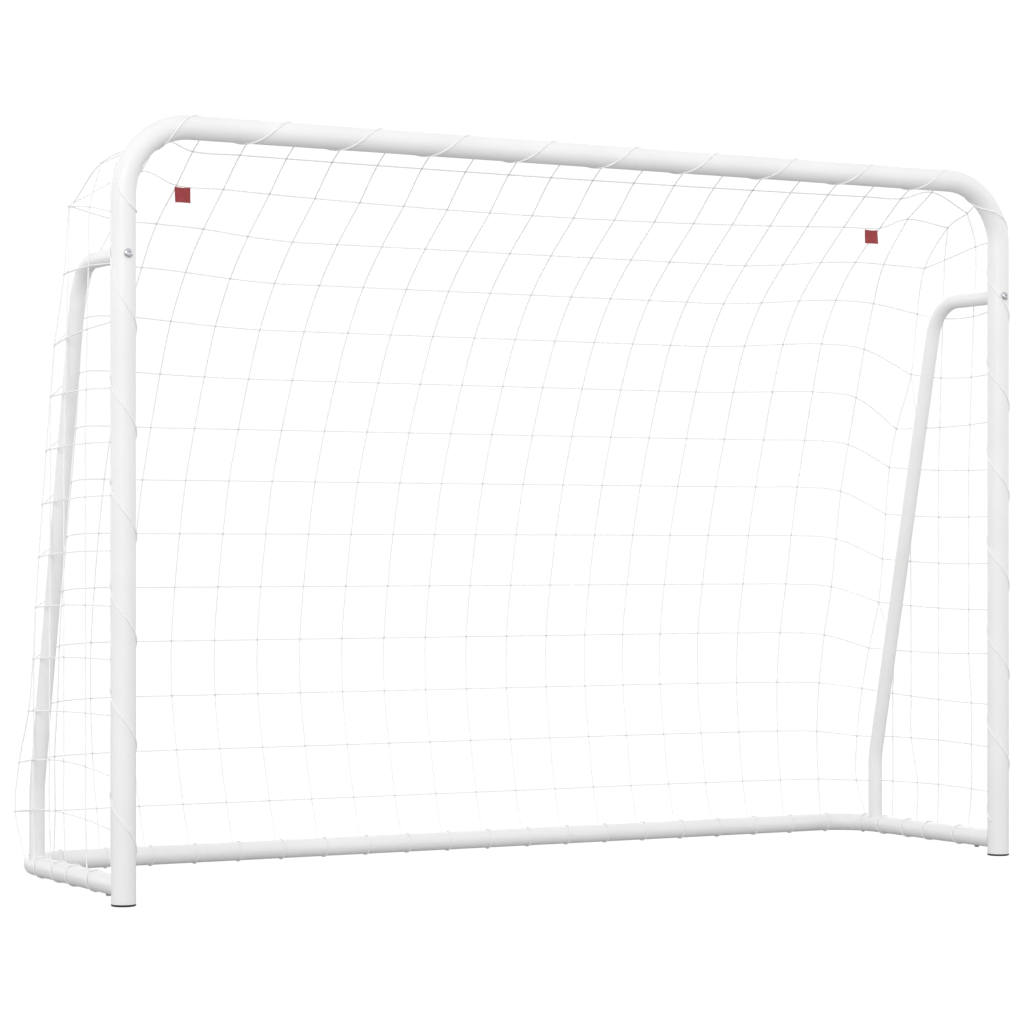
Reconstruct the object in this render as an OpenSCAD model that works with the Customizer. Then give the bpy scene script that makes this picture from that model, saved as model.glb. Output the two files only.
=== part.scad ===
// A small soccer goal: a bolted steel tube frame with a knotted net laced to it.
// X runs along the goal mouth, Y points to the back of the goal and Z is up.
// The origin is on the ground, under the middle of the whole goal.

/* [Front frame] */
// Distance between the two post axes
goal_w = 1676; // [1400:2:2400]
// Height of the goal to the top of the crossbar
goal_h = 1220; // [1160:2:1600]
// Outer diameter of the posts and the crossbar
tube_d = 38; // [34:1:42]
// Centre-line radius of the two top corner bends
corner_r = 110; // [80:5:150]
// Wall thickness of every tube
wall = 1.2; // [1:0.1:2]

/* [Base] */
// Distance from the post axes back to the rear tube's axis
base_depth = 452; // [420:2:480]
// Outer diameter of the base tubes
base_d = 32; // [28:1:34]
// Height of the base tubes' axis above the ground
base_z = 29; // [24:1:40]
// Centre-line radius of the two rear corner bends
base_r = 78; // [60:2:90]

/* [Stays] */
// Outer diameter of the stays
stay_d = 25; // [22:1:26]
// Height at which a stay leaves its post
stay_z = 1000; // [940:5:1040]
// Distance behind the post axis at which a stay's level and slanting lines would meet
stay_knee_y = 181; // [170:1:190]
// Distance behind the post axis at which a stay stands on the base
stay_foot_y = 376; // [370:1:384]
// Height of the kink above which a stay slants forward
stay_kink_z = 157; // [140:1:180]
// Centre-line radius of the stay's upper bend
stay_r = 75; // [50:5:85]

/* [Net] */
// Thickness of the closed sheets that stand for the net panels
net_t = 2; // [1.5:0.5:4]
// Outward step from the post axis to the net's side panels
net_side_step = 16; // [16:1:20]
// Diameter of the net cord
cord_d = 2.2; // [1.8:0.2:3]
// Distance between two turns of the lacing
lacing_pitch = 160; // [120:1:200]
// Width of a net tag
tag_w = 27; // [20:1:32]
// Height of a net tag
tag_h = 25; // [20:1:32]

/* [Hidden] */
$fn = 96;

// Front frame
post_x = goal_w / 2;
bar_z = goal_h - tube_d / 2;
corner_x = post_x - corner_r;
corner_z = bar_z - corner_r;
bar_joint_x = corner_x - 60;
cap_t = 3.5;
cap_plug_l = 16;
slip = 0.1;
bend_mark_t = 0.1;

// Joints between tubes
sleeve_l = 120;
sleeve_wall = 1.5;
base_joint_x = post_x - base_r - 60;
stub_l = 70;
screw_y = 62;
screw_r = 2.4;
spigot_l = 70;

// Stay bolts
bolt_r = 4;
bolt_l = 62;
head_r = 7;
head_t = 4.4;
socket_af = 5;
plug_l = 22;

// Stay centre line, as distances behind the post axis and heights
stay_turn = 90 - atan((stay_foot_y - stay_knee_y) / (stay_z - stay_kink_z));
stay_tangent = stay_r * tan(stay_turn / 2);
kink_r = 150;
kink_turn = 90 - stay_turn;
kink_tangent = kink_r * tan(kink_turn / 2);
stay_slant = norm([stay_foot_y - stay_knee_y, stay_z - stay_kink_z]) - stay_tangent - kink_tangent;

// Net bag: how far behind the post axis the back panel lies at each height
bag_middle = [[48, 472], [100, 489], [280, 527], [392, 530], [636, 477],
              [812, 402], [980, 291], [1113, 150]];
bag_edge = [[48, 448], [190, 446], [285, 430], [383, 403], [448, 378], [641, 345],
            [828, 288], [987, 248], [1013, 240], [1113, 150]];
bag_heights = [0, 0.045, 0.1, 0.165, 0.235, 0.335, 0.42, 0.55, 0.67, 0.77, 0.875, 1];
net_x = post_x + net_side_step;
bag_taper = 450;
bag_low = 48;
roof_top = goal_h - 107;
roof_r = 100;
side_front = 12;
back_columns = 22;

// The goal is centred front to back on its whole depth, bolt heads and net bag included
front_reach = tube_d / 2 + head_t;
back_reach = max([for (p = bag_middle) p[1]]) + net_t;
post_y = (front_reach - back_reach) / 2;

// Lacing: one cord wound up the left post, along the crossbar and down the right post
lacing_z = 60;
lacing_r = tube_d / 2 + cord_d / 2 + 1.3;
lacing_steps = 10;
lacing_phase = 152;
leg_l = corner_z - lacing_z;
arc_l = corner_r * PI / 2;
bar_l = 2 * corner_x;
lacing_l = 2 * (leg_l + arc_l) + bar_l;

// ---- Shared shapes ----

// A straight tube from the origin along Z
module tube(d, length) {
    difference() {
        cylinder(d = d, h = length);
        translate([0, 0, -1]) cylinder(d = d - 2 * wall, h = length + 2);
    }
}

// A bend that starts at the origin along Z and turns towards +X
module bend(d, r, turn) {
    translate([r, 0, 0]) rotate([90, 0, 180]) rotate_extrude(angle = turn)
        translate([r, 0]) difference() {
            circle(d = d);
            circle(d = d - 2 * wall);
        }
}

// The shape that comes after a bend: moved to the bend's end and turned with it
module after_bend(r, turn) {
    translate([r * (1 - cos(turn)), 0, r * sin(turn)]) rotate([0, turn, 0]) children();
}

// The faint ring that the bending tool leaves in a tube where a bend starts or ends
module bend_mark(d) {
    translate([0, 0, -0.5]) difference() {
        cylinder(d = d + 2 * bend_mark_t, h = 1);
        translate([0, 0, -1]) cylinder(d = d - 2 * wall - 2 * bend_mark_t, h = 3);
    }
}

module on_side(side) {
    if (side < 0) mirror([1, 0, 0]) children();
    else children();
}

// A closed sheet between two grids of points
module sheet(inner, outer) {
    rows = len(inner);
    cols = len(inner[0]);
    count = rows * cols;
    function rim(k) =
        k < cols ? k :
        k < cols + rows - 1 ? (k - cols + 1) * cols + cols - 1 :
        k < 2 * cols + rows - 2 ? count - 1 - (k - cols - rows + 2) :
        (rows - 1 - (k - 2 * cols - rows + 3)) * cols;
    rim_n = 2 * (rows + cols) - 4;
    polyhedron(
        points = concat([for (row = inner) each row], [for (row = outer) each row]),
        faces = concat(
            [for (i = [0:rows - 2], j = [0:cols - 2]) let (a = i * cols + j, b = a + cols)
                each [[a, b, b + 1], [a, b + 1, a + 1]]],
            [for (i = [0:rows - 2], j = [0:cols - 2]) let (a = count + i * cols + j, b = a + cols)
                each [[a, b + 1, b], [a, a + 1, b + 1]]],
            [for (k = [0:rim_n - 1]) let (a = rim(k), b = rim((k + 1) % rim_n))
                each [[a, b, b + count], [a, b + count, a + count]]]
        )
    );
}

// A cord swept along points, with one reference direction for each point
module cord(points, refs, d, sides) {
    last = len(points) - 1;
    function unit(v) = v / norm(v);
    function ring(i) =
        let (along = unit(points[min(i + 1, last)] - points[max(i - 1, 0)]),
             across = unit(cross(along, refs[i])),
             over = cross(across, along))
        [for (k = [0:sides - 1]) let (a = 360 * k / sides)
            points[i] + d / 2 * (across * cos(a) + over * sin(a))];
    polyhedron(
        points = [for (i = [0:last]) each ring(i)],
        faces = concat(
            [[for (k = [0:sides - 1]) k]],
            [for (i = [0:last - 1], k = [0:sides - 1])
                let (a = i * sides + k, b = i * sides + (k + 1) % sides)
                each [[a, a + sides, b + sides], [a, b + sides, b]]],
            [[for (k = [sides - 1:-1:0]) last * sides + k]]
        )
    );
}

// ---- Front frame ----

module crossbar() {
    color("white") translate([-bar_joint_x, post_y, bar_z]) rotate([0, 90, 0])
        tube(tube_d, 2 * bar_joint_x);
}

// Right post: an upright, the corner bend and a short stretch along the bar
module post() {
    color("white") translate([post_x, post_y, cap_t]) difference() {
        union() {
            tube(tube_d, corner_z - cap_t);
            translate([0, 0, corner_z - cap_t]) mirror([1, 0, 0]) {
                bend(tube_d, corner_r, 90);
                after_bend(corner_r, 90) tube(tube_d, corner_x - bar_joint_x);
            }
        }
        translate([0, -tube_d, stay_z - cap_t]) rotate([-90, 0, 0])
            cylinder(r = bolt_r + 0.3, h = 2 * tube_d);
    }
}

module crossbar_sleeve() {
    r = tube_d / 2 - wall - slip;
    color("silver") translate([bar_joint_x - sleeve_l / 2, post_y, bar_z]) rotate([0, 90, 0])
        difference() {
            cylinder(r = r, h = sleeve_l);
            translate([0, 0, -1]) cylinder(r = r - sleeve_wall, h = sleeve_l + 2);
        }
}

module foot_cap() {
    color("black") translate([post_x, post_y, 0]) {
        cylinder(d = tube_d + 0.6, h = cap_t);
        translate([0, 0, cap_t]) difference() {
            cylinder(r = tube_d / 2 - wall - slip, h = cap_plug_l);
            cylinder(r = tube_d / 2 - wall - 3, h = cap_plug_l + 1);
        }
    }
}

// ---- Base ----

module base_rear_tube() {
    color("white") translate([-base_joint_x, post_y + base_depth, base_z]) rotate([0, 90, 0])
        tube(base_d, 2 * base_joint_x);
}

// Right side tube: coped to the back of the post, with the rear corner bend
module base_side() {
    straight = base_depth - base_r;
    color("white") translate([post_x, post_y, base_z]) difference() {
        rotate([-90, -180, 0]) {
            tube(base_d, straight);
            translate([0, 0, straight]) {
                bend(base_d, base_r, 90);
                after_bend(base_r, 90) tube(base_d, post_x - base_r - base_joint_x);
            }
        }
        translate([0, 0, -base_d]) cylinder(r = tube_d / 2 + 0.05, h = 2 * base_d);
        translate([0, screw_y, -base_d]) cylinder(r = screw_r + 0.2, h = base_d);
    }
}

// The solid outline of a right side tube and its bend, with a gap all round, for coping
module base_outline(gap) {
    straight = base_depth - base_r;
    rotate([-90, -180, 0]) {
        cylinder(d = base_d + 2 * gap, h = straight);
        translate([base_r, 0, straight]) rotate([90, 0, 180]) rotate_extrude(angle = 45)
            translate([base_r, 0]) circle(d = base_d + 2 * gap);
    }
}

module base_sleeve() {
    r = base_d / 2 - wall - slip;
    color("silver") translate([base_joint_x - sleeve_l / 2, post_y + base_depth, base_z])
        rotate([0, 90, 0]) difference() {
            cylinder(r = r, h = sleeve_l);
            translate([0, 0, -1]) cylinder(r = r - sleeve_wall, h = sleeve_l + 2);
        }
}

module post_stub() {
    r = base_d / 2 - wall - slip;
    color("silver") translate([post_x, post_y, base_z]) difference() {
        rotate([-90, 0, 0]) cylinder(r = r, h = tube_d / 2 + stub_l);
        rotate([-90, 0, 0]) cylinder(r = r - 2.5, h = tube_d / 2 + stub_l + 1);
        translate([0, 0, -base_d]) cylinder(r = tube_d / 2 + 0.05, h = 2 * base_d);
        translate([0, screw_y, -base_d]) cylinder(r = screw_r + 0.1, h = base_d);
    }
}

module base_screws() {
    color("silver") for (side = [-1, 1])
        translate([side * post_x, post_y + screw_y, base_z - base_d / 2]) {
            translate([0, 0, -3.1]) cylinder(r1 = 3.6, r2 = 4.6, h = 3);
            translate([0, 0, -0.2]) cylinder(r = screw_r, h = 9);
        }
}

// ---- Stays ----

// Right stay, coped to the back of the post and to the top of the base tube
module stay() {
    color("white") translate([post_x, post_y, 0]) difference() {
        translate([0, 0, stay_z]) rotate([-90, 90, 0]) {
            tube(stay_d, stay_knee_y - stay_tangent);
            translate([0, 0, stay_knee_y - stay_tangent]) {
                bend(stay_d, stay_r, stay_turn);
                after_bend(stay_r, stay_turn) {
                    bend_mark(stay_d);
                    tube(stay_d, stay_slant);
                    translate([0, 0, stay_slant]) {
                        bend(stay_d, kink_r, kink_turn);
                        bend_mark(stay_d);
                        after_bend(kink_r, kink_turn) {
                            bend_mark(stay_d);
                            tube(stay_d, stay_kink_z - kink_tangent - base_z);
                        }
                    }
                }
            }
        }
        translate([0, 0, stay_z - stay_d]) cylinder(r = tube_d / 2 + 0.05, h = 2 * stay_d);
        translate([0, 0, base_z]) base_outline(0.1);
    }
}

// Threaded plug in the top end of a stay
module stay_plug() {
    color("silver") translate([post_x, post_y + tube_d / 2 + 3, stay_z]) rotate([-90, 0, 0])
        difference() {
            cylinder(r = stay_d / 2 - wall - slip, h = plug_l);
            translate([0, 0, -1]) cylinder(r = bolt_r + 0.05, h = plug_l + 2);
        }
}

module stay_bolts() {
    color("silver") for (side = [-1, 1])
        translate([side * post_x, post_y - tube_d / 2, stay_z]) rotate([-90, 0, 0]) {
            translate([0, 0, -1]) cylinder(r = bolt_r, h = bolt_l + 1);
            difference() {
                translate([0, 0, -head_t]) intersection() {
                    cylinder(r = head_r, h = head_t - 0.05);
                    translate([0, 0, 8.6]) sphere(r = 8.6);
                }
                translate([0, 0, -head_t - 1])
                    cylinder(r = socket_af / sqrt(3), h = 3.2, $fn = 6);
            }
        }
}

module stay_spigot() {
    r = stay_d / 2 - wall - slip;
    color("silver") translate([post_x, post_y, base_z]) difference() {
        translate([0, stay_foot_y, 0]) cylinder(r = r, h = base_d / 2 + spigot_l);
        translate([0, stay_foot_y, 0]) cylinder(r = r - 2, h = base_d / 2 + spigot_l + 1);
        base_outline(0.1);
    }
}

// ---- Net ----

// How far the back panel lies behind the post axis at a place x, z
function bag_y(x, z) =
    let (inset = min(1, (net_x - abs(x)) / bag_taper),
         fill = 1 - pow(1 - inset, 2))
    lookup(z, bag_edge) * (1 - fill) + lookup(z, bag_middle) * fill;

// Top edge of the back panel, rounded down at both sides
function bag_top(x) =
    let (out = max(0, abs(x) - (net_x - roof_r)))
    roof_top - roof_r + sqrt(max(0, roof_r * roof_r - out * out));

module net_back() {
    columns = [for (k = [0:back_columns - 1])
        let (x = (net_x - net_t) * sin(90 * (2 * k / (back_columns - 1) - 1)))
        [for (f = bag_heights) let (z = bag_low + f * (bag_top(x) - bag_low) - 2.5 * f)
            [x, post_y + bag_y(x, z), z]]];
    outer = [for (column = columns) [for (p = column) p + [0, net_t, 0]]];
    color("ivory") sheet(columns, outer);
}

// Roof: a strip two meshes deep that follows the frame round both top corners
module net_roof() {
    turns = [for (a = [0:15:90]) a];
    low = roof_top - roof_r;
    hub_x = net_x - roof_r;
    function roof_y(step, drop) = post_y + [24, 78, 146 + 88 * drop][step];
    function roof_half(step) = [post_x, net_x - 4, net_x][step];
    function roof_height(step) = [bar_z + 2, bar_z - 36, roof_top][step];
    function roof_radius(step) = [corner_r, 104, roof_r][step];
    // Half of one line of the strip, from the middle of a corner's foot up to the roof
    function corner(step, side) = concat(
        [[side * net_x, step == 0 ? post_y + side_front : roof_y(step, 1), low]],
        [for (a = turns) let (r = roof_radius(step))
            [side * (roof_half(step) - r + r * cos(a)), roof_y(step, 1 - a / 90),
             roof_height(step) - r + r * sin(a) + (a == 0 ? 1 : 0)]]
    );
    function reversed(list) = [for (i = [len(list) - 1:-1:0]) list[i]];
    inner = [for (step = [0:2]) concat(corner(step, -1), reversed(corner(step, 1)))];
    outer = [for (row = inner) [for (p = row)
        let (away = [p[0] - sign(p[0]) * hub_x, 0, p[2] - low])
        p + net_t * away / norm(away)]];
    color("ivory") sheet(inner, outer);
}

// Right side panel: flat, from the back of the post to the seam with the back panel
module net_side() {
    low = bag_low + 6;
    high = roof_top - roof_r - 4;
    seam = [for (f = [0:0.1:1]) let (z = low + f * (high - low))
        [lookup(z, bag_edge) - cord_d - 1.6, z]];
    color("ivory") translate([net_x + 0.4, post_y, 0]) rotate([90, 0, 90])
        linear_extrude(net_t)
            polygon(concat([[side_front, high], [side_front, low]], seam));
}

// Right seam: the cord that joins the side panel to the back panel
module net_seam() {
    path = [for (f = [0:0.05:1]) let (z = bag_low + 8 + f * (roof_top - roof_r - 14 - bag_low))
        [net_x + 1.4, post_y + lookup(z, bag_edge) + 0.2, z]];
    color("ivory") cord(path, [for (p = path) [1, 0, 0]], cord_d, 8);
}

// A place on the front frame's centre line, and the way out from its middle there
function frame_place(s) =
    s < leg_l ? [-post_x, lacing_z + s] :
    s < leg_l + arc_l ?
        let (a = 90 * (s - leg_l) / arc_l)
        [-corner_x - corner_r * cos(a), corner_z + corner_r * sin(a)] :
    s < leg_l + arc_l + bar_l ? [-corner_x + s - leg_l - arc_l, bar_z] :
    s < leg_l + 2 * arc_l + bar_l ?
        let (a = 90 * (s - leg_l - arc_l - bar_l) / arc_l)
        [corner_x + corner_r * sin(a), corner_z + corner_r * cos(a)] :
    [post_x, corner_z - (s - leg_l - 2 * arc_l - bar_l)];
function frame_out(s) =
    let (a = s < leg_l ? 0 :
             s < leg_l + arc_l ? 90 * (s - leg_l) / arc_l :
             s < leg_l + arc_l + bar_l ? 90 :
             s < leg_l + 2 * arc_l + bar_l ? 90 + 90 * (s - leg_l - arc_l - bar_l) / arc_l :
             180)
    [-cos(a), 0, sin(a)];

module net_lacing() {
    steps = floor(lacing_l / lacing_pitch * lacing_steps);
    places = [for (i = [0:steps]) i * lacing_pitch / lacing_steps];
    function around(s) = 90 - 360 * (s + lacing_z - lacing_phase) / lacing_pitch;
    outs = [for (s = places) frame_out(s) * cos(around(s)) + [0, -sin(around(s)), 0]];
    path = [for (i = [0:steps]) let (p = frame_place(places[i]))
        [p[0], post_y, p[1]] + lacing_r * outs[i]];
    color("ivory") cord(path, outs, cord_d, 6);
}

// Right tag: a square of fabric that hangs from a knot near the corner, inside the goal
module net_tag() {
    knot_x = net_x - 2 * (2 * net_x / (back_columns - 1));
    color("firebrick") translate([knot_x - tag_w, post_y + 134, roof_top - tag_h + 2])
        cube([tag_w, 1, tag_h]);
}

crossbar();
on_side(-1) post();  // post_left
on_side(1) post();  // post_right
on_side(-1) crossbar_sleeve();  // crossbar_sleeve_left
on_side(1) crossbar_sleeve();  // crossbar_sleeve_right
on_side(-1) stay();  // stay_left
on_side(1) stay();  // stay_right
on_side(-1) stay_plug();  // stay_plug_left
on_side(1) stay_plug();  // stay_plug_right
stay_bolts();
base_rear_tube();
on_side(-1) base_side();  // base_side_left
on_side(1) base_side();  // base_side_right
on_side(-1) base_sleeve();  // base_sleeve_left
on_side(1) base_sleeve();  // base_sleeve_right
on_side(-1) post_stub();  // post_stub_left
on_side(1) post_stub();  // post_stub_right
base_screws();
on_side(-1) stay_spigot();  // stay_spigot_left
on_side(1) stay_spigot();  // stay_spigot_right
on_side(-1) foot_cap();  // foot_cap_left
on_side(1) foot_cap();  // foot_cap_right
net_roof();
net_back();
on_side(-1) net_side();  // net_side_left
on_side(1) net_side();  // net_side_right
on_side(-1) net_seam();  // net_seam_left
on_side(1) net_seam();  // net_seam_right
net_lacing();
on_side(-1) net_tag();  // net_tag_left
on_side(1) net_tag();  // net_tag_right
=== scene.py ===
import bisect
import math
import bpy
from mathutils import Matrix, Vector


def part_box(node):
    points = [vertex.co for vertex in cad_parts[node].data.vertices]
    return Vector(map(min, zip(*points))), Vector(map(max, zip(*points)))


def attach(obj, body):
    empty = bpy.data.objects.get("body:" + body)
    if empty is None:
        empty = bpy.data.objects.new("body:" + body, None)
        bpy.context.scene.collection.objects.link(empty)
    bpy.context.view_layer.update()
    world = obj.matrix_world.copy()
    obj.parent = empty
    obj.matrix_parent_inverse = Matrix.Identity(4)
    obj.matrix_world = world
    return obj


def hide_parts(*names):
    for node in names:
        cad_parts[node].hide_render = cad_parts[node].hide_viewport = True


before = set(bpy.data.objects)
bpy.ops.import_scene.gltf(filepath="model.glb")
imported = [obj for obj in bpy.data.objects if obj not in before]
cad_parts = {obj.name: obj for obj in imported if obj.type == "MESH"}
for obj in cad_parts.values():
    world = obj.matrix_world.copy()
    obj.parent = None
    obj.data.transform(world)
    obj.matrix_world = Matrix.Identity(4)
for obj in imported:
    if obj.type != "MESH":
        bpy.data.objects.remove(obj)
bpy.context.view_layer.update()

# A small soccer goal: white steel tubes, and a knotted net laced to the front frame.
# X runs along the goal mouth, Y points to the back of the goal, Z is up. All in metres.

x_axis = Vector((1, 0, 0))
y_axis = Vector((0, 1, 0))
z_axis = Vector((0, 0, 1))

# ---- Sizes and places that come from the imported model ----
post_low, post_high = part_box("post_right")
rear_low, rear_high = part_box("base_rear_tube")
stay_low, stay_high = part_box("stay_right")
bolt_low, bolt_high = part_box("stay_bolts")
cap_low, cap_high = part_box("foot_cap_right")
tag_low, tag_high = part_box("net_tag_right")
tube_r = (post_high.y - post_low.y) / 2
post_y = (post_high.y + post_low.y) / 2
post_x = post_high.x - tube_r
bar_z = post_high.z - tube_r
bar_joint_x = post_low.x
cap_t = post_low.z
base_r = (rear_high.z - rear_low.z) / 2
base_z = (rear_high.z + rear_low.z) / 2
base_y = (rear_high.y + rear_low.y) / 2
base_joint_x = rear_high.x
stay_r = (stay_high.x - stay_low.x) / 2
bolt_z = (bolt_high.z + bolt_low.z) / 2
bolt_head_r = (bolt_high.z - bolt_low.z) / 2
bolt_head_t = post_y - tube_r - bolt_low.y
tag_w = tag_high.x - tag_low.x
tag_h = tag_high.z - tag_low.z

# ---- Sizes of the bends and of the net ----
wall = 0.0012
corner_bend_r = 0.110
base_bend_r = 0.078
knee_bend_r = 0.075
kink_bend_r = 0.150
knee_depth = 0.181
foot_depth = 0.376
kink_z = 0.157
end_gap = 0.0003
cord_r = 0.0011
cord_step = 0.009
mesh_size = 0.0945
column_count = 22
net_half = post_x + 0.0158
# Edges that turn by more than this many degrees stay sharp
crease = 32

# How far the back panel lies behind the posts at each height, in the middle and at the side seams
bag_middle = [(0.020, 0.466), (0.100, 0.489), (0.280, 0.527), (0.392, 0.530), (0.636, 0.477),
              (0.812, 0.402), (0.980, 0.291), (1.113, 0.140), (1.168, 0.075)]
right_seam = [(0.020, 0.458), (0.190, 0.458), (0.285, 0.440), (0.383, 0.411), (0.448, 0.387),
              (0.641, 0.361), (0.703, 0.352), (0.775, 0.330), (0.875, 0.283), (0.987, 0.264),
              (1.070, 0.229), (1.138, 0.160)]
left_seam = [(0.020, 0.438), (0.115, 0.435), (0.196, 0.417), (0.285, 0.372), (0.365, 0.353),
             (0.448, 0.341), (0.640, 0.305), (0.775, 0.277), (0.853, 0.260), (0.930, 0.237),
             (0.990, 0.210), (1.088, 0.192), (1.108, 0.165)]
# Over this distance from a seam the back panel deepens to its middle shape
right_taper = 0.40
left_taper = 0.27

# Heights of the net's rows at the side seams and at the posts; the net isn't hung quite evenly
right_seam_rows = [0.105, 0.190, 0.282, 0.360, 0.448, 0.530, 0.615, 0.703, 0.775, 0.875, 0.987, 1.069]
left_seam_rows = [0.115, 0.197, 0.283, 0.369, 0.453, 0.535, 0.620, 0.706, 0.792, 0.874, 0.985, 1.091]
right_post_rows = [0.109, 0.189, 0.268, 0.361, 0.439, 0.523, 0.608, 0.692, 0.780, 0.867, 0.984, 1.103]
left_post_rows = [0.117, 0.199, 0.292, 0.378, 0.460, 0.545, 0.630, 0.712, 0.795, 0.896, 0.986, 1.066]
# The lowest row lies first_row_arc along the net above the height first_row_z
first_row_arc = 0.064
first_row_z = 0.048


# ---- Camera, lights and floor ----

def make_camera():
    data = bpy.data.cameras.new("camera")
    data.sensor_width = 36.0
    data.lens = 111.13
    data.shift_y = 0.0387
    data.clip_end = 60.0
    camera = bpy.data.objects.new("camera", data)
    camera.location = (-post_x - 1.829, post_y - 4.528, 0.5436)
    camera.rotation_euler = (math.radians(90), 0, math.radians(-29))
    bpy.context.scene.collection.objects.link(camera)
    bpy.context.scene.camera = camera


def link(tree, output, socket):
    tree.links.new(output, socket)


def make_world():
    """Plain white behind the object, and a soft studio sky that lights it from above."""
    world = bpy.data.worlds.new("studio")
    bpy.context.scene.world = world
    world.use_nodes = True
    tree = world.node_tree
    tree.nodes.clear()
    coords = tree.nodes.new("ShaderNodeTexCoord")
    parts = tree.nodes.new("ShaderNodeSeparateXYZ")
    sky = tree.nodes.new("ShaderNodeBackground")
    backdrop = tree.nodes.new("ShaderNodeBackground")
    ray = tree.nodes.new("ShaderNodeLightPath")
    mix = tree.nodes.new("ShaderNodeMixShader")
    out = tree.nodes.new("ShaderNodeOutputWorld")
    ramp = ramp_node(tree, parts.outputs["Z"], 0.0, (1.0, 1.0, 1.0), 0.75, (0.54, 0.54, 0.54))
    sky.inputs["Strength"].default_value = 1.45
    backdrop.inputs["Color"].default_value = (1.05, 1.05, 1.05, 1)
    link(tree, coords.outputs["Generated"], parts.inputs["Vector"])
    link(tree, ramp.outputs["Color"], sky.inputs["Color"])
    link(tree, ray.outputs["Is Camera Ray"], mix.inputs["Fac"])
    link(tree, sky.outputs["Background"], mix.inputs[1])
    link(tree, backdrop.outputs["Background"], mix.inputs[2])
    link(tree, mix.outputs["Shader"], out.inputs["Surface"])


def make_light(name, place, target, size, power):
    data = bpy.data.lights.new(name, "AREA")
    data.shape = "DISK"
    data.size = size
    data.energy = power
    lamp = bpy.data.objects.new(name, data)
    lamp.location = place
    aim = Vector(target) - Vector(place)
    lamp.rotation_euler = aim.to_track_quat("-Z", "Y").to_euler()
    bpy.context.scene.collection.objects.link(lamp)


def make_lights():
    middle = (0, 0, 0.6)
    make_light("key", (-8.4, -9.6, 5.2), middle, 6.0, 385)
    make_light("fill", (6.0, 8.6, 5.6), middle, 6.0, 80)


def make_floor():
    """A pale studio floor: white to the eye, and dull enough not to light the tubes from below."""
    half = 9.0
    mesh = bpy.data.meshes.new("floor")
    corners = [(-half, -half, 0), (half, -half, 0), (half, half, 0), (-half, half, 0)]
    mesh.from_pydata(corners, [], [(0, 1, 2, 3)])
    floor = bpy.data.objects.new("floor", mesh)
    bpy.context.scene.collection.objects.link(floor)
    material = bpy.data.materials.new("floor_paint")
    material.use_nodes = True
    tree = material.node_tree
    tree.nodes.clear()
    ray = tree.nodes.new("ShaderNodeLightPath")
    glow = tree.nodes.new("ShaderNodeEmission")
    matt = tree.nodes.new("ShaderNodeBsdfDiffuse")
    seen = tree.nodes.new("ShaderNodeAddShader")
    pale = tree.nodes.new("ShaderNodeBsdfDiffuse")
    mix = tree.nodes.new("ShaderNodeMixShader")
    out = tree.nodes.new("ShaderNodeOutputMaterial")
    glow.inputs["Color"].default_value = (1, 1, 1, 1)
    glow.inputs["Strength"].default_value = 0.88
    pale.inputs["Color"].default_value = (0.18, 0.18, 0.18, 1)
    matt.inputs["Color"].default_value = (0.48, 0.48, 0.48, 1)
    link(tree, glow.outputs["Emission"], seen.inputs[0])
    link(tree, pale.outputs["BSDF"], seen.inputs[1])
    link(tree, ray.outputs["Is Camera Ray"], mix.inputs["Fac"])
    link(tree, matt.outputs["BSDF"], mix.inputs[1])
    link(tree, seen.outputs["Shader"], mix.inputs[2])
    link(tree, mix.outputs["Shader"], out.inputs["Surface"])
    mesh.materials.append(material)


# ---- Materials ----

def new_material(name):
    """A material with its shader, and the object coordinates that its patterns use."""
    material = bpy.data.materials.new(name)
    material.use_nodes = True
    tree = material.node_tree
    shader = tree.nodes["Principled BSDF"]
    coords = tree.nodes.new("ShaderNodeTexCoord")
    return material, tree, shader, coords


def noise_node(tree, vector, scale, detail):
    node = tree.nodes.new("ShaderNodeTexNoise")
    node.inputs["Scale"].default_value = scale
    node.inputs["Detail"].default_value = detail
    link(tree, vector, node.inputs["Vector"])
    return node


def ramp_node(tree, value, start, start_color, end, end_color):
    node = tree.nodes.new("ShaderNodeValToRGB")
    node.color_ramp.elements[0].position = start
    node.color_ramp.elements[0].color = (*start_color, 1)
    node.color_ramp.elements[1].position = end
    node.color_ramp.elements[1].color = (*end_color, 1)
    link(tree, value, node.inputs["Fac"])
    return node


def range_node(tree, value, low, high):
    node = tree.nodes.new("ShaderNodeMapRange")
    node.inputs["To Min"].default_value = low
    node.inputs["To Max"].default_value = high
    link(tree, value, node.inputs["Value"])
    return node


def bump_node(tree, height, strength, distance, normal=None):
    node = tree.nodes.new("ShaderNodeBump")
    node.inputs["Strength"].default_value = strength
    node.inputs["Distance"].default_value = distance
    link(tree, height, node.inputs["Height"])
    if normal is not None:
        link(tree, normal, node.inputs["Normal"])
    return node


def wire(tree, shader, tint, gloss, skin):
    """Joins a material's colour, roughness and bump to its shader."""
    link(tree, tint.outputs["Color"], shader.inputs["Base Color"])
    link(tree, gloss.outputs["Result"], shader.inputs["Roughness"])
    link(tree, skin.outputs["Normal"], shader.inputs["Normal"])


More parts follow.
